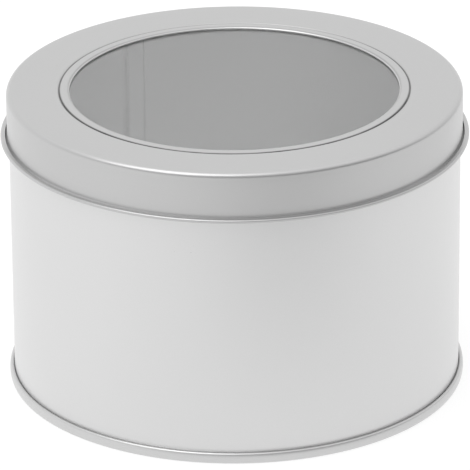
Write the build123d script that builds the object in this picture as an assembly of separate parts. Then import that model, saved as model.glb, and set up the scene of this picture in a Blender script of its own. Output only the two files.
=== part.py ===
from build123d import *
import math
import os

# Round tin with a straight body and a slip lid that has a clear window.
# Sizes are in millimetres, angles in degrees. The tin stands on Z = 0, its axis is Z, and its front faces -Y.

# Whole tin
overall_height = 67.9
body_outer_radius = 50.0
sheet = 0.25
fold_gap = 0.09
overrun = 1.0

# Side lock seam of the body
lock_seam_width = 4.1
lock_seam_azimuth = 117.5
lock_seam_setback = 0.5
lock_seam_layer_gap = 0.04

# Double seam of body and base
seam_height = 2.5
hook_tip_gap = 0.2

# Base panel
panel_height = 3.0
panel_step_inset = 7.0
panel_step_depth = 0.5
panel_step_angle = 45.0

# Lid, and the rolled rim of the body that nests in its corner
lid_depth = 10.85
lid_corner_radius = 1.1
lid_curl_width = 1.45
lid_curl_height = 0.8
lid_curl_tip_gap = 0.1
lid_radial_clearance = 0.17
lid_rest_gap = 0.08
rim_corner_gap = 0.15

# Window edge of the lid
lid_top_width = 13.6
groove_offset = 2.4
groove_width = 0.9
groove_depth = 0.3
hem_inner_gap = 0.2
hem_tip_gap = 0.15

# Window and the ring that holds it
window_thickness = 0.25
window_lap = 4.1
window_edge_gap = 0.1
ring_setback = 0.8

# A bend that goes round the whole tin is drawn as a few creases, so that the model stays light.
corner_crease_count = 2
fold_crease_count = 2
roll_crease_count = 4
roll_crease_angle = 60.0


class Strip:
    """A strip of sheet in section, walked along its middle line.

    Runs are straight, bends are arcs, and creases are sharp. Positive angles turn left.
    Each step adds the matching edges on both sides of the strip, half a thickness away from the middle line.
    """

    def __init__(self, start, heading, thickness=sheet):
        self.point = Vector(*start)
        self.heading = heading
        self.half = thickness / 2
        self.sides = {1: [self.beside(1)], -1: [self.beside(-1)]}
        self.edges = []

    def beside(self, side, heading=None, reach=None):
        """A point beside the middle line, to its left for side 1 and its right for side -1."""
        normal = math.radians((self.heading if heading is None else heading) + 90)
        reach = self.half if reach is None else reach
        return self.point + Vector(math.cos(normal), math.sin(normal)) * side * reach

    def close_run(self, heading=None, reach=None):
        for side, points in self.sides.items():
            end = self.beside(side, heading, reach)
            if (end - points[-1]).length > 0:
                self.edges.append(Line(points[-1], end))
            points.append(end)

    def run(self, length):
        direction = math.radians(self.heading)
        self.point += Vector(math.cos(direction), math.sin(direction)) * length
        return self

    def crease(self, angle):
        self.close_run(self.heading + angle / 2, self.half / math.cos(math.radians(angle / 2)))
        self.heading += angle
        return self

    def bend(self, angle, radius):
        turn = 1 if angle > 0 else -1
        self.close_run()
        centre = self.beside(turn, reach=radius)
        for side, points in self.sides.items():
            arc = CenterArc(centre, radius - turn * side * self.half, self.heading - 90 * turn, angle)
            self.edges.append(arc)
            points.append(arc @ 1)
        self.heading += angle
        self.point = centre
        self.point = self.beside(-turn, reach=radius)
        return self

    def creased_bend(self, angle, radius, creases):
        """A bend drawn as equal creases, with its straight pieces touching the bend's arc from outside."""
        tangent = radius * math.tan(math.radians(abs(angle) / creases / 2))
        for _ in range(creases):
            self.run(tangent).crease(angle / creases).run(tangent)
        return self

    def face(self):
        self.close_run()
        left, right = self.sides[1], self.sides[-1]
        return make_face(self.edges + [Line(left[-1], right[-1]), Line(right[0], left[0])])


def turned(section):
    """A section drawn as radius and height, carried once round the tin's axis."""
    return revolve(Plane.XZ * section, Axis.Z)


# Lines that the pieces share
fold_pitch = sheet + fold_gap
wall_middle_radius = body_outer_radius - sheet / 2
panel_top = panel_height + sheet
lid_underside = overall_height - sheet
hem_thickness = 2 * sheet + hem_inner_gap
aperture_radius = body_outer_radius - lid_top_width
window_top = overall_height - hem_thickness
window_underside = window_top - window_thickness
window_radius = aperture_radius + window_lap

# A roll is a row of creases, and its corners stand further from its centre than its straight pieces.
roll_angle = roll_crease_count * roll_crease_angle
roll_corner_ratio = 1 / math.cos(math.radians(roll_crease_angle / 2))


def body_wall():
    """The rolled wall: body hook below, straight wall with a lock seam up one side, rolled rim above."""
    hook_tip = seam_height - sheet - hook_tip_gap
    hook_bend_height = fold_pitch + sheet / 2 + fold_pitch
    rim_top = lid_underside - lid_rest_gap
    rim_outside_radius = lid_corner_radius - sheet - rim_corner_gap
    rim_middle_radius = rim_outside_radius - sheet / 2
    rim_roll_height = rim_top - rim_outside_radius * roll_corner_ratio
    strip = Strip((wall_middle_radius + 2 * fold_pitch, hook_tip), -90)
    strip.run(hook_tip - hook_bend_height).creased_bend(-180, fold_pitch, fold_crease_count)
    strip.run(rim_roll_height - hook_bend_height).creased_bend(roll_angle, rim_middle_radius, roll_crease_count)

    # The lock seam ends above the base panel and below the rim, where the real wall is notched to one layer.
    seam_foot = panel_top + fold_gap
    seam_head = rim_roll_height - rim_outside_radius * roll_corner_ratio - fold_gap
    return with_lock_seam(turned(strip.face()), seam_foot, seam_head)


def with_lock_seam(wall, foot, head):
    """The wall with its two hooked ends holding each other in four layers, drawn in plan and extruded."""
    pitch = sheet + lock_seam_layer_gap
    layers = [wall_middle_radius - pitch * step for step in range(4)]
    width = math.degrees(lock_seam_width / wall_middle_radius)
    hook = math.degrees((lock_seam_width - lock_seam_setback) / wall_middle_radius)

    # The inner end dips from the outer layer to the inner one, round the other end's fold and just clear of it.
    dip_radius = 2 * pitch
    dip_centres = layers[0] - dip_radius, layers[3] + dip_radius
    dip = triangle_angle(2 * dip_radius, *dip_centres)
    dip_in = 180 - triangle_angle(dip_centres[1], dip_centres[0], 2 * dip_radius)
    dip_back = triangle_angle(dip_centres[0], dip_centres[1], 2 * dip_radius)

    fold_azimuth = lock_seam_azimuth + width / 2
    outer_end = strip_in_plan(layers[2], fold_azimuth - hook, 90)
    outer_end.bend(hook, layers[2]).bend(-180, pitch).bend(-width, layers[0])
    inner_end = strip_in_plan(layers[0], fold_azimuth + dip, -90)
    inner_end.bend(-dip_in, dip_radius).bend(dip_back, dip_radius)
    inner_end.bend(-width, layers[3]).bend(180, pitch).bend(hook, layers[1])

    slice_across_wall = Pos(wall_middle_radius, (foot + head) / 2) * Rectangle(sheet + 2 * overrun, head - foot)
    slot = Rot(0, 0, fold_azimuth - width) * revolve(Plane.XZ * slice_across_wall, Axis.Z, width + dip)
    ends = [Pos(0, 0, foot) * extrude(end.face(), head - foot) for end in (outer_end, inner_end)]
    return wall - slot + ends


def strip_in_plan(radius, azimuth, turn):
    """A strip that starts on a circle about the tin's axis, heading along it."""
    return Strip(Vector(radius, 0).rotate(Axis.Z, azimuth), azimuth + turn)


def triangle_angle(opposite, side, other_side):
    """The angle of a triangle between two sides, from its three lengths."""
    return math.degrees(math.acos((side**2 + other_side**2 - opposite**2) / (2 * side * other_side)))


def base_plate():
    """The base: panel with a pressed step, chuck wall, foot, seaming wall and cover hook."""
    panel_middle = panel_top - sheet / 2
    chuck_wall_radius = wall_middle_radius - fold_pitch
    seaming_wall_radius = wall_middle_radius + 3 * fold_pitch
    foot_middle = sheet / 2
    hook_bend_height = seam_height - sheet / 2 - fold_pitch
    cover_hook_tip = 2 * sheet + fold_gap + hook_tip_gap
    step_radius = body_outer_radius - panel_step_inset
    step_run = panel_step_depth / math.tan(math.radians(panel_step_angle))
    step_slope = panel_step_depth / math.sin(math.radians(panel_step_angle))
    strip = Strip((0, panel_middle - panel_step_depth), 0)
    strip.run(step_radius - step_run).crease(panel_step_angle).run(step_slope).crease(-panel_step_angle)
    strip.run(chuck_wall_radius - step_radius).crease(-90).run(panel_middle - foot_middle).crease(90)
    strip.run(seaming_wall_radius - chuck_wall_radius).crease(90).run(hook_bend_height - foot_middle)
    strip.creased_bend(180, fold_pitch, fold_crease_count).run(hook_bend_height - cover_hook_tip)
    return turned(strip.face())


def lid_shell():
    """The pressed lid: hemmed window edge, groove round it, flat top, skirt and flattened outward curl."""
    top_middle = overall_height - sheet / 2
    groove_radius = aperture_radius + groove_offset
    groove_start = groove_radius - groove_width / 2
    groove_slope = math.degrees(math.atan2(groove_depth, groove_width / 2))
    groove_side = math.hypot(groove_depth, groove_width / 2)
    hem_middle_radius = (hem_thickness - sheet) / 2
    hem_bend_at = aperture_radius + hem_thickness / 2
    hem_tip = groove_start - hem_tip_gap
    corner_middle_radius = lid_corner_radius - sheet / 2
    skirt_middle_radius = body_outer_radius + lid_radial_clearance + sheet / 2
    curl_floor_middle = overall_height - lid_depth + sheet / 2
    curl_middle_radius = (lid_curl_height - sheet) / 2
    curl_bend_at = skirt_middle_radius + lid_curl_width - curl_middle_radius
    curl_tip = skirt_middle_radius + sheet / 2 + lid_curl_tip_gap

    strip = Strip((hem_tip, top_middle - 2 * hem_middle_radius), 180)
    strip.run(hem_tip - hem_bend_at).creased_bend(-180, hem_middle_radius, fold_crease_count)
    strip.run(groove_start - hem_bend_at).crease(-groove_slope).run(groove_side)
    strip.crease(2 * groove_slope).run(groove_side).crease(-groove_slope)
    strip.run(skirt_middle_radius - corner_middle_radius - groove_radius - groove_width / 2)
    strip.creased_bend(-90, corner_middle_radius, corner_crease_count)
    strip.run(top_middle - corner_middle_radius - curl_floor_middle).crease(90)
    strip.run(curl_bend_at - skirt_middle_radius).creased_bend(180, curl_middle_radius, fold_crease_count)
    return turned(strip.run(curl_bend_at - curl_tip).face())


def window_disc():
    """The clear window, a flat disc under the hem."""
    return Pos(0, 0, window_underside) * extrude(Circle(window_radius), window_thickness)


def window_ring():
    """The angle ring that holds the window: a flat ledge below it and a wall round it, up to the lid's top."""
    ledge_middle = window_underside - sheet / 2
    ledge_start = aperture_radius + ring_setback
    wall_radius = window_radius + window_edge_gap + sheet / 2
    strip = Strip((ledge_start, ledge_middle), 0)
    strip.run(wall_radius - ledge_start).crease(90).run(lid_underside - ledge_middle)
    return turned(strip.face())


os.makedirs("parts", exist_ok=True)
pieces = {
    "body_wall": body_wall(),
    "base_plate": base_plate(),
    "lid_shell": lid_shell(),
    "window_disc": window_disc(),
    "window_ring": window_ring(),
}
for name, piece in pieces.items():
    export_step(piece, f"parts/{name}.step")
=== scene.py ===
"""Round tin of satin tinplate with a slip lid and a clear window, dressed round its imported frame.

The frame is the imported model's: Z is the tin's axis, Z = 0 is the surface it stands on, and its front faces
-Y. Sizes in the classes of the tin and its finishes are millimetres, and become metres in the meshes and
materials. Sizes of the studio and the camera are metres.
"""

import logging
import math
from dataclasses import dataclass
from enum import Enum

import bmesh
import bpy
import numpy as np
from mathutils import Matrix, Vector


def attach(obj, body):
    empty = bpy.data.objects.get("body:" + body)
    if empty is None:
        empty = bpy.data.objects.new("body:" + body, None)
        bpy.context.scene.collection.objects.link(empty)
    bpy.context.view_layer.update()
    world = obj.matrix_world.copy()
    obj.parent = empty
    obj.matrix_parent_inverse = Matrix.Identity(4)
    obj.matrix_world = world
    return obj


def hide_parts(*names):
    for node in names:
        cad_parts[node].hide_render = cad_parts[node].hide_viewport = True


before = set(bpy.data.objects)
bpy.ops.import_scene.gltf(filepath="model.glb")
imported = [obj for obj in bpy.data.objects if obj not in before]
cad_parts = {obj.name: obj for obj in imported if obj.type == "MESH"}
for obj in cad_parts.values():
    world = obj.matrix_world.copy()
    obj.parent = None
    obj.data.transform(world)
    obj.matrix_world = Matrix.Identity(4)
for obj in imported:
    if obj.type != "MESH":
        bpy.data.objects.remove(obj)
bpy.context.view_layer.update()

LOG = logging.getLogger("window_tin")

Color = tuple[float, float, float, float]
Point = tuple[float, float, float]
Stops = tuple[tuple[float, float], ...]
Material = bpy.types.Material
Node = bpy.types.Node
Piece = bpy.types.Object
Socket = bpy.types.NodeSocket
Tree = bpy.types.NodeTree

MM = 0.001
WHITE: Color = (1.0, 1.0, 1.0, 1.0)

# Edges that turn by more degrees than this stay sharp in the shading.
SHARP_ANGLE = 40.0

# Points closer than the first, in metres, are merged, and edges shorter than the second are dissolved.
MERGE_DISTANCE = 1e-7
SHORTEST_EDGE = 1e-8

# Noise varies about this value.
NOISE_MIDDLE = 0.5

# How much the coarser grain adds to the height of the fine grain.
COARSE_RELIEF = 0.6

# A painted shade line's patches make it this weak where their noise is zero, and this much stronger where it
# is one.
PATCH_LEAST = 0.75
PATCH_SPREAD = 0.5

# The colour sockets of a Mix node, by their places, because its number and vector sockets share their names.
MIX_FIRST = 6
MIX_SECOND = 7
MIX_RESULT = 2


class Body(Enum):
    """The two bodies that the pieces ride on."""

    CAN = "can"
    LID = "lid"


class Slot(Enum):
    """The record's material slots."""

    BODY = "body_tinplate"
    BASE = "base_tinplate"
    LID = "lid_tinplate"
    RING = "ring_tinplate"
    WINDOW = "window_film"


class SheetSide(Enum):
    """The two faces of a sheet, to the left and the right of its middle line."""

    LEFT = 1.0
    RIGHT = -1.0


# Sections


@dataclass(frozen=True)
class Run:
    """A straight stretch of a sheet's middle line, in equal parts."""

    length: float
    parts: int = 1


@dataclass(frozen=True)
class Bend:
    """A round bend of a sheet's middle line. Positive angles, in degrees, turn left."""

    angle: float
    radius: float


@dataclass(frozen=True)
class SheetLine:
    """The middle line of a folded sheet in section, as radius and height, walked from end to end."""

    start: tuple[float, float]
    heading: float
    steps: tuple[Run | Bend, ...]
    thickness: float
    degrees_per_facet: float = 7.5
    fewest_facets: int = 2

    def _walk(self) -> tuple[np.ndarray, np.ndarray]:
        """The line's points and headings: runs add multiples of one direction, bends points of one circle.

        Returns:
            Points as an (n, 2) array and headings in radians as an (n,) array.
        """
        here = np.array(self.start)
        heading = math.radians(self.heading)
        points, headings = [here[None]], [np.array([heading])]
        for step in self.steps:
            if isinstance(step, Run):
                share = np.linspace(0.0, 1.0, step.parts + 1)
                direction = np.array([math.cos(heading), math.sin(heading)])
                stretch = here + share[:, None] * step.length * direction
                facing = np.full(len(share), heading)
            else:
                turn = math.copysign(1.0, step.angle)
                facets = max(self.fewest_facets, math.ceil(abs(step.angle) / self.degrees_per_facet))
                facing = heading + np.radians(np.linspace(0.0, step.angle, facets + 1))
                centre = here + turn * step.radius * np.array([-math.sin(heading), math.cos(heading)])
                stretch = centre - turn * step.radius * np.stack([-np.sin(facing), np.cos(facing)], 1)
            points.append(stretch[1:])
            headings.append(facing[1:])
            here, heading = stretch[-1], facing[-1]
        return np.concatenate(points), np.concatenate(headings)

    def side(self, side: SheetSide) -> np.ndarray:
        """One face of the sheet: the middle line moved half a thickness along its normal.

        Args:
            side: Which face.

        Returns:
            Points as an (n, 2) array of radius and height.
        """
        points, headings = self._walk()
        normal = np.stack([-np.sin(headings), np.cos(headings)], 1)
        return points + side.value * self.thickness / 2 * normal

    def outline(self) -> np.ndarray:
        """The closed outline of the section: one face forwards, then the other face backwards."""
        return np.concatenate([self.side(SheetSide.RIGHT), self.side(SheetSide.LEFT)[::-1]])


def smooth_step(value: np.ndarray, low: float, high: float) -> np.ndarray:
    """A rise from 0 at low to 1 at high: three times the share squared minus twice the share cubed."""
    share = np.clip((value - low) / (high - low), 0.0, 1.0)
    return share * share * (3.0 - 2.0 * share)


def azimuths(count: int) -> np.ndarray:
    """Equal steps once round the axis, in radians."""
    return np.linspace(0.0, 2.0 * math.pi, count, endpoint=False)


def turned(outline: np.ndarray, angles: np.ndarray, inset: np.ndarray | float = 0.0) -> np.ndarray:
    """A section carried round the axis: x is radius times cosine, y radius times sine, z the height.

    Args:
        outline: The section as an (along, 2) array of radius and height.
        angles: Azimuths in radians, as an (around,) array.
        inset: How far each point is moved towards the axis, as one number or an (around, along) array.

    Returns:
        Points as an (around, along, 3) array.
    """
    radius = outline[None, :, 0] - inset
    angle = np.broadcast_to(angles[:, None], (len(angles), len(outline)))
    radius = np.broadcast_to(radius, angle.shape)
    height = np.broadcast_to(outline[None, :, 1], angle.shape)
    return np.stack([radius * np.cos(angle), radius * np.sin(angle), height], -1)


# Meshes


def grid_mesh(name: str, grid: np.ndarray) -> Piece:
    """A closed surface from a grid of points: each cell of the grid is one quad, and both directions close.

    Where a row's points all lie on the tin's axis they are merged, and the cells next to it become triangles.

    Args:
        name: The piece's name.
        grid: Points in millimetres, as an (around, along, 3) array.

    Returns:
        The new object, linked into the scene.
    """
    around, along, _ = grid.shape
    index = np.arange(around * along).reshape(around, along)
    after, beside = np.roll(index, -1, 0), np.roll(index, -1, 1)
    quads = np.stack([index, after, np.roll(after, -1, 1), beside], -1).reshape(-1, 4)
    mesh = bpy.data.meshes.new(name)
    mesh.vertices.add(around * along)
    mesh.vertices.foreach_set("co", (grid * MM).astype(np.float32).ravel())
    mesh.loops.add(quads.size)
    mesh.loops.foreach_set("vertex_index", quads.astype(np.int32).ravel())
    mesh.polygons.add(len(quads))
    mesh.polygons.foreach_set("loop_start", np.arange(0, quads.size, quads.shape[1], dtype=np.int32))
    mesh.update(calc_edges=True)
    mesh.validate()
    mesh.polygons.foreach_set("use_smooth", np.ones(len(mesh.polygons), dtype=bool))
    mesh.set_sharp_from_angle(angle=math.radians(SHARP_ANGLE))
    piece = bpy.data.objects.new(name, mesh)
    bpy.context.scene.collection.objects.link(piece)
    merge_and_face_out(mesh)
    return piece


def merge_and_face_out(mesh: bpy.types.Mesh) -> None:
    """Merges doubled points, such as a row at a pole, and turns every face outwards.

    Args:
        mesh: The mesh to change.
    """
    work = bmesh.new()
    work.from_mesh(mesh)
    bmesh.ops.remove_doubles(work, verts=work.verts, dist=MERGE_DISTANCE)
    bmesh.ops.dissolve_degenerate(work, edges=work.edges, dist=SHORTEST_EDGE)
    bmesh.ops.recalc_face_normals(work, faces=work.faces)
    work.to_mesh(mesh)
    work.free()


# Nodes


def plug(tree: Tree, value: object, socket: Socket) -> None:
    """Links an output socket to an input, or sets the input's own value.

    Args:
        tree: The tree that holds both.
        value: An output socket or a plain value.
        socket: The input.
    """
    if isinstance(value, Socket):
        tree.links.new(value, socket)
    else:
        socket.default_value = value


def fill(tree: Tree, made: Node, values: dict[str, object]) -> Node:
    """Gives a node's inputs their values or links, and hands the node back.

    Args:
        tree: The tree that holds the node.
        made: The node.
        values: Input names, with underscores for spaces, and a value or an output socket for each.

    Returns:
        The same node.
    """
    for name, value in values.items():
        plug(tree, value, made.inputs[name.replace("_", " ")])
    return made


def node(tree: Tree, kind: str, operation: str = "", **values: object) -> Node:
    """A new node.

    Args:
        tree: The tree it goes in.
        kind: The node's type name.
        operation: What it does, for a node that offers several operations.
        values: Its inputs, as fill takes them.

    Returns:
        The node.
    """
    made = tree.nodes.new(kind)
    if operation:
        made.operation = operation
    return fill(tree, made, values)


def placed(tree: Tree, group: Tree, **values: object) -> Node:
    """A shared effect placed in a material.

    Args:
        tree: The material's tree.
        group: The effect's node group.
        values: Its inputs, as fill takes them.

    Returns:
        The group's node.
    """
    made = tree.nodes.new("ShaderNodeGroup")
    made.node_tree = group
    return fill(tree, made, values)


def object_place(tree: Tree) -> Socket:
    """The place on the surface, in the object's own coordinates."""
    return tree.nodes.new("ShaderNodeTexCoord").outputs["Object"]


def math_node(tree: Tree, operation: str, *values: object) -> Socket:
    """One step of arithmetic.

    Args:
        tree: The tree it goes in.
        operation: The Math node's operation.
        values: Up to three values or output sockets.

    Returns:
        The result.
    """
    made = node(tree, "ShaderNodeMath", operation)
    for value, socket in zip(values, made.inputs):
        plug(tree, value, socket)
    return made.outputs[0]


def measured(tree: Tree, operation: str, vector: Socket, fixed: Point) -> Socket:
    """A number that a vector and a fixed one give.

    Args:
        tree: The tree it goes in.
        operation: The Vector Math node's operation, such as a distance or a dot product.
        vector: The vector that varies.
        fixed: The vector that stays.

    Returns:
        The number.
    """
    made = node(tree, "ShaderNodeVectorMath", operation, Vector=vector)
    made.inputs[1].default_value = fixed
    return made.outputs["Value"]


def scaled(tree: Tree, colour: object, factor: Socket) -> Socket:
    """A colour times a factor that varies."""
    return node(tree, "ShaderNodeVectorMath", "SCALE", Vector=colour, Scale=factor).outputs[0]


def share_between(tree: Tree, value: Socket, low: float, high: float) -> Socket:
    """How far a value has come from low to high, as a number from zero to one."""
    return node(tree, "ShaderNodeMapRange", Value=value, From_Min=low, From_Max=high).outputs["Result"]


def blend(tree: Tree, share: Socket, first: object, second: object) -> Socket:
    """A colour between two others.

    Args:
        tree: The tree it goes in.
        share: How much of the second colour it has.
        first: The colour at a share of zero.
        second: The colour at a share of one.

    Returns:
        The colour.
    """
    made = tree.nodes.new("ShaderNodeMix")
    made.data_type = "RGBA"
    plug(tree, share, made.inputs["Factor"])
    plug(tree, first, made.inputs[MIX_FIRST])
    plug(tree, second, made.inputs[MIX_SECOND])
    return made.outputs[MIX_RESULT]


def mixed(tree: Tree, share: Socket, first: Socket, second: Socket) -> Socket:
    """A shader between two others.

    Args:
        tree: The tree it goes in.
        share: How much of the second shader it has.
        first: The shader at a share of zero.
        second: The shader at a share of one.

    Returns:
        The shader.
    """
    made = node(tree, "ShaderNodeMixShader", Fac=share)
    plug(tree, first, made.inputs[1])
    plug(tree, second, made.inputs[2])
    return made.outputs[0]


def grey(tone: float) -> Color:
    """An opaque grey."""
    return (tone, tone, tone, 1.0)


@dataclass(frozen=True)
class Noise:
    """A noise pattern: its scale per metre, how many finer layers it has and how strong they are."""

    scale: float | Socket
    detail: float
    roughness: float = 0.5

    def at(self, tree: Tree, place: Socket) -> Socket:
        """The pattern at a place, from zero to one.

        Args:
            tree: The tree it goes in.
            place: The place.

        Returns:
            The pattern's value.
        """
        values = {"Vector": place, "Scale": self.scale, "Detail": self.detail, "Roughness": self.roughness}
        return node(tree, "ShaderNodeTexNoise", **values).outputs["Fac"]

    def about_zero(self, tree: Tree, place: Socket) -> Socket:
        """The pattern at a place, less its middle value."""
        return math_node(tree, "SUBTRACT", self.at(tree, place), NOISE_MIDDLE)


# Shared effects


def new_group(name: str, inputs: dict[str, float | Color], outputs: dict[str, str]) -> Tree:
    """An empty node group with its sockets.

    Args:
        name: The group's name.
        inputs: Input names and their values, a number or a colour each.
        outputs: Output names and their kinds.

    Returns:
        The group.
    """
    tree = bpy.data.node_groups.new(name, "ShaderNodeTree")
    for label, value in inputs.items():
        kind = "NodeSocketFloat" if isinstance(value, float) else "NodeSocketColor"
        tree.interface.new_socket(label, in_out="INPUT", socket_type=kind).default_value = value
    for label, kind in outputs.items():
        tree.interface.new_socket(label, in_out="OUTPUT", socket_type=kind)
    return tree


def satin_grain_group() -> Tree:
    """The grain of satin lacquer on rolled tinplate: fine speckle over slow mottling, in object space.

    The colour is the silver times one plus each noise times its strength. The roughness is the given one
    plus the sum of all three noises times its spread. The height is the fine noise plus part of the coarse.

    Returns:
        A node group with inputs for the silver, its roughness and the strengths, and with outputs that vary
        over the surface: a colour, a roughness and a height.
    """
    tree = new_group(
        "satin_grain",
        inputs={
            "Silver": grey(0.8),
            "Roughness": 0.3,
            "Speckle": 0.02,
            "Mottle": 0.02,
            "Roughness Spread": 0.03,
            "Grain Scale": 4000.0,
        },
        outputs={"Colour": "NodeSocketColor", "Roughness": "NodeSocketFloat", "Height": "NodeSocketFloat"},
    )
    given = tree.nodes.new("NodeGroupInput").outputs
    place = object_place(tree)
    fine = Noise(scale=given["Grain Scale"], detail=2.0, roughness=0.6).about_zero(tree, place)
    coarse = Noise(scale=900.0, detail=1.0).about_zero(tree, place)
    slow = Noise(scale=45.0, detail=3.0, roughness=0.55).about_zero(tree, place)
    light = math_node(tree, "ADD", 1.0, math_node(tree, "MULTIPLY", fine, given["Speckle"]))
    light = math_node(tree, "ADD", light, math_node(tree, "MULTIPLY", slow, given["Mottle"]))
    spread = math_node(tree, "ADD", math_node(tree, "ADD", fine, slow), coarse)
    rough = math_node(tree, "MULTIPLY_ADD", spread, given["Roughness Spread"], given["Roughness"])
    height = math_node(tree, "ADD", fine, math_node(tree, "MULTIPLY", coarse, COARSE_RELIEF))
    out = tree.nodes.new("NodeGroupOutput")
    fill(tree, out, {"Colour": scaled(tree, given["Silver"], light), "Roughness": rough, "Height": height})
    return tree


def painted_shade_line_group() -> Tree:
    """A line of painted shade, darkest at its centre and uneven along its length.

    Its darkness falls along a smooth step from the centre to the half width.

    Returns:
        A node group with inputs for the distance across the line, its centre, half width and strength, and
        for where it shows, and with one output that varies over the surface, a factor for the silver.
    """
    tree = new_group(
        "painted_shade_line",
        inputs={"Across": 0.0, "Centre": 0.0, "Half Width": MM, "Strength": 0.5, "Where": 1.0},
        outputs={"Light": "NodeSocketFloat"},
    )
    given = tree.nodes.new("NodeGroupInput").outputs
    patches = Noise(scale=160.0, detail=2.0).at(tree, object_place(tree))
    off = math_node(tree, "ABSOLUTE", math_node(tree, "SUBTRACT", given["Across"], given["Centre"]))
    off = math_node(tree, "DIVIDE", off, given["Half Width"])
    near = node(tree, "ShaderNodeMapRange", Value=off, To_Min=1.0, To_Max=0.0)
    near.interpolation_type = "SMOOTHSTEP"
    uneven = math_node(tree, "MULTIPLY_ADD", patches, PATCH_SPREAD, PATCH_LEAST)
    depth = math_node(tree, "MULTIPLY", near.outputs["Result"], uneven)
    depth = math_node(tree, "MULTIPLY", depth, given["Strength"])
    depth = math_node(tree, "MULTIPLY", depth, given["Where"])
    out = tree.nodes.new("NodeGroupOutput")
    plug(tree, math_node(tree, "SUBTRACT", 1.0, depth), out.inputs["Light"])
    return tree


@dataclass(frozen=True)
class SharedEffects:
    """The node groups that several finishes place."""

    grain: Tree
    # The node group that paints shade as dark lines.
    line: Tree


# Finishes


@dataclass(frozen=True)
class PaintedShadeLine:
    """One line of painted shade: where its centre lies across the surface, how wide and how dark it is."""

    centre: float
    half_width: float
    strength: float


@dataclass(frozen=True)
class TinplateFinish:
    """Satin silver lacquer on tinplate, with a barer inside; on the lid, the grey within the inside radius is
    a painted highlight on the window's hem.
    """

    name: str
    silver: float = 0.72
    inside_silver: float = 0.84
    inside_radius: float = 0.0
    metallic: float = 0.8
    roughness: float = 0.31
    speckle: float = 0.05
    mottle: float = 0.03
    roughness_spread: float = 0.06
    grain_scale: float = 3500.0
    grain_depth: float = 0.0006
    lines: tuple[PaintedShadeLine, ...] = ()
    lines_inside: bool = False

    def _across(self, tree: Tree, spot: Node, reach: Socket) -> Socket:
        """How far a spot lies across the painted shade lines, in metres: here its distance from the tin's
        axis.
        """
        return reach

    def _silver(self, tree: Tree, line: Tree) -> Socket:
        """The silver before its grain: one grey outside and one inside, darker along the painted shade lines.

        Args:
            tree: The material's tree.
            line: The node group of a painted shade line.

        Returns:
            The colour.
        """
        spot = node(tree, "ShaderNodeSeparateXYZ", Vector=object_place(tree))
        flat = node(tree, "ShaderNodeCombineXYZ", X=spot.outputs["X"], Y=spot.outputs["Y"]).outputs[0]
        reach = node(tree, "ShaderNodeVectorMath", "LENGTH", Vector=flat).outputs["Value"]
        inside = math_node(tree, "LESS_THAN", reach, self.inside_radius * MM)
        colour = blend(tree, inside, grey(self.silver), grey(self.inside_silver))
        for painted_shade in self.lines:
            drawn = placed(
                tree,
                line,
                Across=self._across(tree, spot, reach),
                Centre=painted_shade.centre * MM,
                Half_Width=painted_shade.half_width * MM,
                Strength=painted_shade.strength,
                Where=inside if self.lines_inside else 1.0,
            )
            colour = scaled(tree, colour, drawn.outputs["Light"])
        return colour

    def material(self, effects: SharedEffects) -> Material:
        """The material: a metal whose colour, roughness and height follow the shared grain.

        Args:
            effects: The shared node groups.

        Returns:
            The new material.
        """
        made = bpy.data.materials.new(self.name)
        made.use_nodes = True
        tree = made.node_tree
        shader = tree.nodes["Principled BSDF"]
        grain = placed(
            tree,
            effects.grain,
            Silver=self._silver(tree, effects.line),
            Roughness=self.roughness,
            Speckle=self.speckle,
            Mottle=self.mottle,
            Roughness_Spread=self.roughness_spread,
            Grain_Scale=self.grain_scale,
        )
        bump = node(tree, "ShaderNodeBump", Height=grain.outputs["Height"], Distance=self.grain_depth * MM)
        plug(tree, grain.outputs["Colour"], shader.inputs["Base Color"])
        plug(tree, grain.outputs["Roughness"], shader.inputs["Roughness"])
        plug(tree, bump.outputs["Normal"], shader.inputs["Normal"])
        shader.inputs["Metallic"].default_value = self.metallic
        return made


@dataclass(frozen=True)
class WallFinish(TinplateFinish):
    """The wall's tinplate: its painted shade lines run up its inside beside the lock seam, in the creases of
    the seam's band.
    """

    lines_inside: bool = True
    seam_azimuth: float = 117.5
    wall_radius: float = 49.75

    def _across(self, tree: Tree, spot: Node, reach: Socket) -> Socket:
        """How far a spot lies round the wall from the lock seam's middle: the angle times the radius.

        Args:
            tree: The material's tree.
            spot: The place on the surface, split into its coordinates.
            reach: The distance from the axis, which this finish doesn't need.

        Returns:
            The distance in metres.
        """
        angle = math_node(tree, "ARCTAN2", spot.outputs["Y"], spot.outputs["X"])
        off = math_node(tree, "SUBTRACT", angle, math.radians(self.seam_azimuth))
        return math_node(tree, "MULTIPLY", off, self.wall_radius * MM)


@dataclass(frozen=True)
class ClearFilmFinish:
    """Clear stiff film with the faintest haze."""

    name: str = "clear_film"
    tint: Color = (0.98, 0.985, 0.985, 1.0)
    clearness: float = 0.95
    roughness: float = 0.04
    haze_spread: float = 0.03
    ior: float = 1.45
    wave_depth: float = 0.02
    waves: Noise = Noise(scale=18.0, detail=1.0)
    haze: Noise = Noise(scale=60.0, detail=4.0, roughness=0.6)

    def material(self) -> Material:
        """The material: clear plastic, with slow waves in its surface and patches of faint haze.

        Returns:
            The new material.
        """
        made = bpy.data.materials.new(self.name)
        made.use_nodes = True
        tree = made.node_tree
        shader = tree.nodes["Principled BSDF"]
        place = object_place(tree)
        rough = math_node(tree, "MULTIPLY_ADD", self.haze.at(tree, place), self.haze_spread, self.roughness)
        wave = self.waves.at(tree, place)
        bump = node(tree, "ShaderNodeBump", Height=wave, Distance=self.wave_depth * MM)
        plug(tree, rough, shader.inputs["Roughness"])
        plug(tree, bump.outputs["Normal"], shader.inputs["Normal"])
        shader.inputs["Base Color"].default_value = self.tint
        shader.inputs["IOR"].default_value = self.ior
        shader.inputs["Transmission Weight"].default_value = self.clearness
        return made


# The tin


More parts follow.
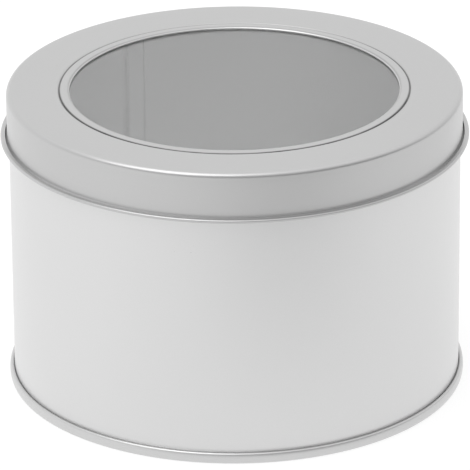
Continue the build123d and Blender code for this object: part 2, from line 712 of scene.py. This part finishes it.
def settle(piece: Piece, finish: Material, body: Body, stands_for: str) -> None:
    """Gives a piece its material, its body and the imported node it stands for, and reports it.

    Args:
        piece: The piece.
        finish: Its material.
        body: The body it rides on.
        stands_for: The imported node's name.
    """
    piece.data.materials.append(finish)
    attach(piece, body.value)
    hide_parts(stands_for)
    faces = len(piece.data.polygons)
    LOG.info("%s rides on %s, stands for %s, %d faces", piece.name, body.value, stands_for, faces)


@dataclass(frozen=True)
class Sheet:
    """Sizes that all the pressed pieces share."""

    thickness: float = 0.25
    fold_gap: float = 0.09
    body_radius: float = 50.0
    height: float = 67.9

    @property
    def pitch(self) -> float:
        """The step from one layer of a fold to the next."""
        return self.thickness + self.fold_gap

    @property
    def wall(self) -> float:
        """The radius of the body wall's middle line."""
        return self.body_radius - self.thickness / 2


@dataclass(frozen=True)
class LockSeam:
    """The side lock seam as it shows: a flat band inside, a narrow dip outside."""

    azimuth: float = 117.5
    width: float = 4.1
    layer: float = 0.29
    thickness: float = 0.25
    radius: float = 50.0
    foot: float = 3.34
    head: float = 65.4
    fade: float = 0.9
    deepest: float = 0.5
    facets: int = 140

    @property
    def fold_radius(self) -> float:
        """The outside radius of a folded end."""
        return self.layer + self.thickness / 2

    @property
    def dip_length(self) -> float:
        """How far the dip goes round the wall: its centres are four layers apart, one of them in depth."""
        return math.sqrt((4 * self.layer) ** 2 - self.layer**2)

    def along(self, angles: np.ndarray) -> np.ndarray:
        """Distance round the wall from the seam's middle, in millimetres, positive towards the dip."""
        off = (angles - math.radians(self.azimuth) + math.pi) % (2 * math.pi) - math.pi
        return off * self.radius

    def inside(self, angles: np.ndarray) -> np.ndarray:
        """How far the seam stands in from the wall's inside.

        The band is three layers high. It rises along a smooth step where the inner end dips, and ends in a
        quarter round where the inner end folds back.

        Args:
            angles: Azimuths in radians.

        Returns:
            A depth for each azimuth, in millimetres.
        """
        away = self.along(angles)
        top = 3 * self.layer
        half = self.width / 2
        rise = top * (1.0 - smooth_step(away, half, half + self.dip_length))
        past = np.clip((-half - away) / self.fold_radius, 0.0, 1.0)
        fold = top - self.fold_radius + self.fold_radius * np.sqrt(1.0 - past**2)
        end = np.where(away < -half - self.fold_radius, 0.0, fold)
        return np.where(away > 0, rise, end)

    def outside(self, angles: np.ndarray) -> np.ndarray:
        """How far the wall's outside dips: two rounds that meet, the outer end's fold and the dipping end.

        Each round's depth is its radius minus the root of its radius squared minus the distance squared, and
        the dip is never deeper than the deepest that the sheet allows.

        Args:
            angles: Azimuths in radians.

        Returns:
            A depth for each azimuth, in millimetres.
        """
        away = self.along(angles) - self.width / 2
        fold, dip = self.fold_radius, 2 * self.layer + self.thickness / 2
        from_fold = fold - np.sqrt(np.clip(fold**2 - np.clip(away, 0.0, fold) ** 2, 0.0, None))
        left = np.clip(self.dip_length - away, 0.0, dip)
        from_dip = dip - np.sqrt(np.clip(dip**2 - left**2, 0.0, None))
        depth = np.minimum(np.where(away < fold, from_fold, from_dip), self.deepest)
        return np.where((away > 0) & (away < self.dip_length), depth, 0.0)

    def strength(self, heights: np.ndarray) -> np.ndarray:
        """How much of the seam shows at a height: all of it but near the base and the rim."""
        above = smooth_step(heights, self.foot, self.foot + self.fade)
        return above * (1.0 - smooth_step(heights, self.head - self.fade, self.head))

    def angles(self, count: int) -> np.ndarray:
        """Equal steps round the wall, with finer ones across the seam.

        Args:
            count: How many equal steps go once round.

        Returns:
            Azimuths in radians, in order.
        """
        near = np.linspace(-self.width, self.width, self.facets) / self.radius + math.radians(self.azimuth)
        even = azimuths(count)
        even = even[np.abs(self.along(even)) > self.width]
        return np.sort(np.concatenate([even, near % (2 * math.pi)]))


@dataclass(frozen=True)
class BodyWall:
    """The rolled wall, from its hook in the base seam to its rolled rim."""

    sheet: Sheet = Sheet()
    seam: LockSeam = LockSeam()
    hook_tip: float = 2.05
    hook_height: float = 0.805
    rim_top: float = 67.57
    rim_radius: float = 0.575
    rim_turn: float = 262.0
    row_slack: float = 0.0025
    wall_rows: int = 48
    facets: int = 288

    def section(self) -> SheetLine:
        """Hook, wall and rolled rim as one walk.

        Returns:
            The middle line.
        """
        rim_height = self.rim_top - self.rim_radius - self.sheet.thickness / 2
        return SheetLine(
            start=(self.sheet.wall + 2 * self.sheet.pitch, self.hook_tip),
            heading=-90.0,
            steps=(
                Run(self.hook_tip - self.hook_height),
                Bend(-180.0, self.sheet.pitch),
                Run(rim_height - self.hook_height, self.wall_rows),
                Bend(self.rim_turn, self.rim_radius),
            ),
            thickness=self.sheet.thickness,
        )

    def build(self) -> Piece:
        """The section carried round the axis, with the lock seam's band and dip worked into the wall.

        A point of the upright wall moves towards the axis by the seam's depth at its azimuth, the band's on
        the inside and the dip's on the outside, times how much of the seam shows at its height.

        Returns:
            The piece.
        """
        outline = self.section().outline()
        angles = self.seam.angles(self.facets)
        radius, height = outline[:, 0], outline[:, 1]
        straight = np.abs(radius - self.sheet.wall) < self.sheet.thickness / 2 + self.row_slack
        upright = straight & (height > self.seam.foot) & (height < self.seam.head)
        strength = self.seam.strength(height)
        inner = strength * (upright & (radius < self.sheet.wall))
        outer = strength * (upright & (radius > self.sheet.wall))
        inset = self.seam.inside(angles)[:, None] * inner[None]
        inset = inset + self.seam.outside(angles)[:, None] * outer[None]
        return grid_mesh("body_wall_sheet", turned(outline, angles, inset))

    def dress(self, piece: Piece, finish: Material) -> None:
        """Gives the wall its finish and its place on the can."""
        settle(piece, finish, Body.CAN, "body_wall")


@dataclass(frozen=True)
class BasePlate:
    """The pressed base, from the middle of its panel to the tip of its cover hook."""

    sheet: Sheet = Sheet()
    panel_height: float = 3.125
    step_inset: float = 7.0
    step_depth: float = 0.5
    step_angle: float = 45.0
    step_radius: float = 0.5
    chuck_radius: float = 0.45
    foot_radius: float = 0.3
    outer_foot_radius: float = 0.5
    seam_height: float = 2.5
    seam_lean: float = 16.0
    hook_tip: float = 0.79
    panel_rows: int = 24
    ledge_rows: int = 3
    facets: int = 320

    def section(self) -> SheetLine:
        """Panel, step, chuck wall, foot, seaming wall and cover hook as one walk.

        The seaming wall is an arc that leans out by an angle at the foot and in by the same angle at its
        top. It bulges by its radius times one minus the angle's cosine, half of that to either side of its
        place.

        Returns:
            The middle line.
        """
        half = self.sheet.thickness / 2
        chuck_wall = self.sheet.wall - self.sheet.pitch
        turn = math.radians(self.step_angle)
        tangent = self.step_radius * math.tan(turn / 2)
        step_end = self.sheet.body_radius - self.step_inset
        slope = self.step_depth / math.sin(turn)
        lean = math.radians(self.seam_lean)
        wall_foot = half + self.outer_foot_radius * (1 - math.sin(lean))
        wall_head = self.seam_height - half - self.sheet.pitch * (1 - math.sin(lean))
        wall_radius = (wall_head - wall_foot) / (2 * math.sin(lean))
        bulge = wall_radius * (1 - math.cos(lean))
        wall_start = self.sheet.wall + 3 * self.sheet.pitch - bulge / 2
        foot_run = wall_start - self.outer_foot_radius * math.cos(lean) - chuck_wall - self.foot_radius
        return SheetLine(
            start=(0.0, self.panel_height - self.step_depth),
            heading=0.0,
            steps=(
                Run(step_end - self.step_depth / math.tan(turn) - tangent, self.panel_rows),
                Bend(self.step_angle, self.step_radius),
                Run(slope - 2 * tangent),
                Bend(-self.step_angle, self.step_radius),
                Run(chuck_wall - step_end - tangent - self.chuck_radius, self.ledge_rows),
                Bend(-90.0, self.chuck_radius),
                Run(self.panel_height - half - self.chuck_radius - self.foot_radius),
                Bend(90.0, self.foot_radius),
                Run(foot_run),
                Bend(90.0 - self.seam_lean, self.outer_foot_radius),
                Bend(2 * self.seam_lean, wall_radius),
                Bend(180.0 - self.seam_lean, self.sheet.pitch),
                Run(self.seam_height - half - self.sheet.pitch - self.hook_tip),
            ),
            thickness=self.sheet.thickness,
        )

    def build(self) -> Piece:
        """The section carried round the axis, closed where its panel meets the axis."""
        return grid_mesh("base_plate_sheet", turned(self.section().outline(), azimuths(self.facets)))

    def dress(self, piece: Piece, finish: Material) -> None:
        """Gives the base its finish and its place on the can."""
        settle(piece, finish, Body.CAN, "base_plate")


@dataclass(frozen=True)
class LidShell:
    """The pressed lid, from the tip of the window's hem to the tip of the curl at its foot."""

    sheet: Sheet = Sheet()
    aperture: float = 36.4
    hem_thickness: float = 0.7
    hem_fold_radius: float = 0.13
    hem_fall: float = 50.0
    hem_tip: float = 38.2
    groove_radius: float = 38.8
    groove_width: float = 0.9
    groove_depth: float = 0.3
    shoulder_radius: float = 0.25
    groove_floor_radius: float = 0.14
    corner_radius: float = 0.975
    skirt_radius: float = 50.295
    depth: float = 10.85
    curl_reach: float = 51.87
    curl_height: float = 0.8
    curl_corner_radius: float = 1.0
    curl_tip: float = 50.85
    top_rows: int = 6
    skirt_rows: int = 5
    facets: int = 384

    def section(self) -> SheetLine:
        """Hem, groove, top, corner, skirt and curl as one walk.

        The hem is a tight fold up to its fall, an angle past upright, and a wide round from there to the top.

        Returns:
            The middle line.
        """
        half = self.sheet.thickness / 2
        top = self.sheet.height - half
        fall = math.radians(self.hem_fall)
        hem_height = self.hem_thickness - self.sheet.thickness
        hem_round = (hem_height - self.hem_fold_radius * (1 + math.cos(fall))) / (1 - math.cos(fall))
        hem_fold = self.aperture + half + self.hem_fold_radius
        hem_end = hem_fold + (hem_round - self.hem_fold_radius) * math.sin(fall)
        slope = math.degrees(math.atan2(self.groove_depth, self.groove_width / 2))
        side = math.hypot(self.groove_depth, self.groove_width / 2)
        shoulder = self.shoulder_radius * math.tan(math.radians(slope / 2))
        floor = self.groove_floor_radius * math.tan(math.radians(slope))
        groove_start = self.groove_radius - self.groove_width / 2
        groove_end = self.groove_radius + self.groove_width / 2
        curl_floor = self.sheet.height - self.depth + half
        curl_radius = (self.curl_height - self.sheet.thickness) / 2
        curl_bend = self.curl_reach - half - curl_radius
        return SheetLine(
            start=(self.hem_tip, top - hem_height),
            heading=180.0,
            steps=(
                Run(self.hem_tip - hem_fold),
                Bend(self.hem_fall - 180.0, self.hem_fold_radius),
                Bend(-self.hem_fall, hem_round),
                Run(groove_start - hem_end - shoulder),
                Bend(-slope, self.shoulder_radius),
                Run(side - shoulder - floor),
                Bend(2 * slope, self.groove_floor_radius),
                Run(side - shoulder - floor),
                Bend(-slope, self.shoulder_radius),
                Run(self.skirt_radius - self.corner_radius - groove_end - shoulder, self.top_rows),
                Bend(-90.0, self.corner_radius),
                Run(top - self.corner_radius - curl_floor - self.curl_corner_radius, self.skirt_rows),
                Bend(90.0, self.curl_corner_radius),
                Run(curl_bend - self.skirt_radius - self.curl_corner_radius),
                Bend(180.0, curl_radius),
                Run(curl_bend - self.curl_tip),
            ),
            thickness=self.sheet.thickness,
        )

    def build(self) -> Piece:
        """The section carried round the axis."""
        return grid_mesh("lid_shell_sheet", turned(self.section().outline(), azimuths(self.facets)))

    def dress(self, piece: Piece, finish: Material) -> None:
        """Gives the lid its finish and its place on the lid body."""
        settle(piece, finish, Body.LID, "lid_shell")


@dataclass(frozen=True)
class Window:
    """The clear film and the angle ring that holds it against the hem."""

    sheet: Sheet = Sheet()
    film_radius: float = 40.5
    film_top: float = 67.2
    film_thickness: float = 0.25
    film_edge: float = 0.05
    ring_start: float = 37.2
    ring_gap: float = 0.1
    ring_bend: float = 0.3
    film_rows: int = 14
    facets: int = 256

    def build_film(self) -> Piece:
        """A flat disc with eased edges, its outline carried round the axis.

        Returns:
            The piece.
        """
        edge, top = self.film_radius, self.film_top
        bottom = top - self.film_thickness
        inner = np.linspace(0.0, edge - self.film_edge, self.film_rows)
        upper = np.stack([inner[::-1], np.full(self.film_rows, top)], 1)
        rim = np.array([[edge, bottom + self.film_edge], [edge, top - self.film_edge]])
        lower = np.stack([inner, np.full(self.film_rows, bottom)], 1)
        return grid_mesh("window_film", turned(np.concatenate([lower, rim, upper]), azimuths(self.facets)))

    def build_ring(self) -> Piece:
        """The angle ring: a ledge, a round bend and a wall, carried round the axis.

        Returns:
            The piece.
        """
        half = self.sheet.thickness / 2
        ledge = self.film_top - self.film_thickness - half
        wall = self.film_radius + self.ring_gap + half
        line = SheetLine(
            start=(self.ring_start, ledge),
            heading=0.0,
            steps=(
                Run(wall - self.ring_bend - self.ring_start),
                Bend(90.0, self.ring_bend),
                Run(self.sheet.height - self.sheet.thickness - ledge - self.ring_bend),
            ),
            thickness=self.sheet.thickness,
        )
        return grid_mesh("window_ring_angle", turned(line.outline(), azimuths(self.facets)))

    def dress(self, film: Piece, ring: Piece, clear: Material, plain: Material) -> None:
        """Gives film and ring their finishes and their places on the lid body."""
        settle(film, clear, Body.LID, "window_disc")
        # plain is the ring's paler tinplate, which paints light under the hem.
        settle(ring, plain, Body.LID, "window_ring")


# Studio


def grey_ramp(tree: Tree, value: Socket, stops: Stops) -> Socket:
    """A grey that follows a value in straight lines from stop to stop.

    Args:
        tree: The tree it goes in.
        value: The value, from zero to one.
        stops: Values in order, each with its grey.

    Returns:
        The grey.
    """
    ramp = node(tree, "ShaderNodeValToRGB", Fac=value)
    spots = ramp.color_ramp.elements
    for position, _ in stops[1:-1]:
        spots.new(position)
    for spot, (position, tone) in zip(spots, stops):
        spot.position = position
        spot.color = grey(tone)
    return ramp.outputs["Color"]


def white_to(tree: Tree, in_metal: Socket | float) -> Socket:
    """How far a ray sees the white background: wholly from the camera or through film, partly from metal.

    Args:
        tree: The tree it goes in.
        in_metal: How far metal reflects the white background.

    Returns:
        A share from zero to one.
    """
    ray = tree.nodes.new("ShaderNodeLightPath").outputs
    direct = math_node(tree, "MAXIMUM", ray["Is Camera Ray"], ray["Is Transmission Ray"])
    return math_node(tree, "MAXIMUM", direct, math_node(tree, "MULTIPLY", ray["Is Glossy Ray"], in_metal))


@dataclass(frozen=True)
class Studio:
    """Pale floor, soft light and the surroundings that the metal reflects.

    Each sky is greys by the upward part of a direction, and the low sky greys by how far it points away from
    low_toward. The floor's ramp is greys by distance from the shaded place on the table.
    """

    floor_half: float = 3.0
    floor_white: float = 0.77
    floor_diffuse: float = 0.3
    floor_in_metal: float = 0.3
    floor_ramp: Stops = ((0.0, 0.42), (0.2, 0.52), (0.34, 0.78), (0.5, 0.93), (0.7, 1.0), (1.0, 1.0))
    shade_place: Point = (0.13, -0.31, 0.0)
    shade_reach: float = 0.5
    lamp_place: Point = (-0.4, -0.35, 1.0)
    lamp_side: float = 0.9
    lamp_power: float = 3.3
    front_sky: Stops = ((0.0, 0.4), (0.5, 0.45), (0.75, 0.85), (0.9, 1.05), (1.0, 1.15))
    back_sky: Stops = ((0.0, 0.9), (0.2, 0.88), (0.42, 0.82), (0.65, 1.0), (1.0, 1.1))
    back_from: float = -0.35
    back_to: float = 0.35
    low_sky: Stops = ((0.0, 1.0), (0.35, 1.0), (0.75, 0.4), (0.9, 0.24), (1.0, 0.2))
    low_toward: Point = (0.8, -0.6, 0.0)
    low_from: float = 0.05
    low_to: float = 0.5
    backdrop_in_metal: float = 0.35

    def _sky(self, tree: Tree, way: Socket, up: Socket, behind: Socket) -> Socket:
        """The grey that metal reflects from a direction: the front or back sky above, the low sky below.

        Args:
            tree: The world's tree.
            way: The direction.
            up: Its upward part.
            behind: How far it points behind the tin, from zero to one.

        Returns:
            The grey.
        """
        front, back = grey_ramp(tree, up, self.front_sky), grey_ramp(tree, up, self.back_sky)
        high = blend(tree, behind, front, back)
        toward = share_between(tree, measured(tree, "DOT_PRODUCT", way, self.low_toward), -1.0, 1.0)
        low = grey_ramp(tree, toward, self.low_sky)
        return blend(tree, share_between(tree, up, self.low_from, self.low_to), low, high)

    def build_world(self) -> None:
        """The surroundings: greys by direction, with a white backdrop behind the tin."""
        world = bpy.data.worlds.new("studio")
        bpy.context.scene.world = world
        world.use_nodes = True
        tree = world.node_tree
        tree.nodes.clear()
        way = tree.nodes.new("ShaderNodeTexCoord").outputs["Generated"]
        parts = node(tree, "ShaderNodeSeparateXYZ", Vector=way).outputs
        behind = share_between(tree, parts["Y"], self.back_from, self.back_to)
        sky = self._sky(tree, way, parts["Z"], behind)
        lit = node(tree, "ShaderNodeBackground", Color=sky).outputs[0]
        seen = node(tree, "ShaderNodeBackground", Color=WHITE).outputs[0]
        white = white_to(tree, math_node(tree, "MULTIPLY", behind, self.backdrop_in_metal))
        plug(tree, mixed(tree, white, lit, seen), tree.nodes.new("ShaderNodeOutputWorld").inputs["Surface"])

    def _floor_material(self) -> Material:
        """The floor's material: white with a faint shadow to the camera, a shaded table to the metal.

        Returns:
            The new material.
        """
        pale = bpy.data.materials.new("pale_floor")
        pale.use_nodes = True
        tree = pale.node_tree
        tree.nodes.clear()
        away = measured(tree, "DISTANCE", object_place(tree), self.shade_place)
        shade = grey_ramp(tree, math_node(tree, "DIVIDE", away, self.shade_reach), self.floor_ramp)
        table = node(tree, "ShaderNodeEmission", Color=shade).outputs[0]
        glow = node(tree, "ShaderNodeEmission", Color=WHITE, Strength=self.floor_white)
        matt = node(tree, "ShaderNodeBsdfDiffuse", Color=grey(self.floor_diffuse))
        seen = tree.nodes.new("ShaderNodeAddShader")
        plug(tree, glow.outputs[0], seen.inputs[0])
        plug(tree, matt.outputs[0], seen.inputs[1])
        above = mixed(tree, white_to(tree, self.floor_in_metal), table, seen.outputs[0])
        below = tree.nodes.new("ShaderNodeNewGeometry").outputs["Backfacing"]
        clear = tree.nodes.new("ShaderNodeBsdfTransparent").outputs[0]
        out = tree.nodes.new("ShaderNodeOutputMaterial")
        plug(tree, mixed(tree, below, above, clear), out.inputs["Surface"])
        return pale

    def build_floor(self) -> None:
        """The floor: one square, clear from below."""
        half = self.floor_half
        corners = [(-half, -half, 0.0), (half, -half, 0.0), (half, half, 0.0), (-half, half, 0.0)]
        mesh = bpy.data.meshes.new("floor")
        mesh.from_pydata(corners, [], [(0, 1, 2, 3)])
        mesh.materials.append(self._floor_material())
        floor = bpy.data.objects.new("floor", mesh)
        bpy.context.scene.collection.objects.link(floor)

    def build_lamp(self) -> None:
        """One wide soft lamp above the tin, to its left."""
        lamp = bpy.data.lights.new("soft_box", "AREA")
        lamp.shape = "SQUARE"
        lamp.size = self.lamp_side
        lamp.energy = self.lamp_power
        fitting = bpy.data.objects.new("soft_box", lamp)
        place = Vector(self.lamp_place)
        aimed = (-place).to_track_quat("-Z", "Y").to_matrix().to_4x4()
        fitting.matrix_world = Matrix.Translation(place) @ aimed
        bpy.context.scene.collection.objects.link(fitting)


@dataclass(frozen=True)
class PhotoCamera:
    """The camera at the photograph's place, from a fit to the tin's edges."""

    focal_pixels: float = 5147.76
    frame_pixels: float = 470.0
    sensor: float = 36.0
    nearest: float = 0.05
    farthest: float = 20.0
    distance: float = 1.15
    pitch: float = 23.384
    roll: float = -0.462
    aim: Point = (-0.000142, 0.0, 0.032152)

    def build(self) -> None:
        """The camera looks down by the pitch at the aim point, turned by the roll about its own axis."""
        lens = bpy.data.cameras.new("photo_camera")
        lens.sensor_width = self.sensor
        lens.lens = self.focal_pixels * self.sensor / self.frame_pixels
        lens.clip_start, lens.clip_end = self.nearest, self.farthest
        camera = bpy.data.objects.new("photo_camera", lens)
        down = math.radians(self.pitch)
        forward = Vector((0.0, math.cos(down), -math.sin(down)))
        upright = forward.to_track_quat("-Z", "Y").to_matrix().to_4x4()
        roll = Matrix.Rotation(math.radians(self.roll), 4, "Z")
        place = Matrix.Translation(Vector(self.aim) - forward * self.distance)
        camera.matrix_world = place @ upright @ roll
        bpy.context.scene.collection.objects.link(camera)
        bpy.context.scene.camera = camera


def tin_finishes(effects: SharedEffects) -> dict[Slot, Material]:
    """The finish of each piece.

    Args:
        effects: The shared node groups.

    Returns:
        The materials by the record's slots.
    """
    wall = WallFinish(
        "satin_tinplate",
        inside_radius=49.8,
        # Painted shade in the creases along both edges of the lock seam's band, inside the wall.
        lines=(
            PaintedShadeLine(centre=2.3, half_width=0.7, strength=0.45),
            PaintedShadeLine(centre=-2.1, half_width=0.3, strength=0.5),
        ),
    )
    lid = TinplateFinish(
        "satin_tinplate_lid",
        silver=0.565,
        # A painted highlight: the hem's fold round the window gets a paler grey.
        inside_silver=0.95,
        inside_radius=36.58,
        # Painted shade: a dark line along the groove round the window, and a softer darkening across the
        # hem's slope.
        lines=(
            PaintedShadeLine(centre=38.7, half_width=0.38, strength=0.88),
            PaintedShadeLine(centre=36.4, half_width=0.8, strength=0.3),
        ),
    )
    base = TinplateFinish("satin_tinplate_base", silver=0.64, inside_silver=0.78, inside_radius=49.3)
    # Painted light: the ring's tinplate is paler than the wall's, to lighten the shade seen through the film
    # beside the hem.
    ring = TinplateFinish("ring_tinplate_painted_light", silver=0.86, metallic=0.7, roughness=0.42)
    return {
        Slot.BODY: wall.material(effects),
        Slot.LID: lid.material(effects),
        Slot.BASE: base.material(effects),
        Slot.RING: ring.material(effects),
        Slot.WINDOW: ClearFilmFinish().material(),
    }


def main() -> None:
    """Builds the tin, its studio and its camera, in that order."""
    logging.basicConfig(level=logging.INFO, format="%(message)s")
    bpy.context.scene.view_settings.view_transform = "Standard"
    finishes = tin_finishes(SharedEffects(satin_grain_group(), painted_shade_line_group()))

    wall = BodyWall()
    wall.dress(wall.build(), finishes[Slot.BODY])
    base = BasePlate()
    base.dress(base.build(), finishes[Slot.BASE])
    lid = LidShell()
    lid.dress(lid.build(), finishes[Slot.LID])
    window = Window()
    window.dress(window.build_film(), window.build_ring(), finishes[Slot.WINDOW], finishes[Slot.RING])

    studio = Studio()
    studio.build_world()
    studio.build_floor()
    studio.build_lamp()
    PhotoCamera().build()


if __name__ == "__main__":
    main()
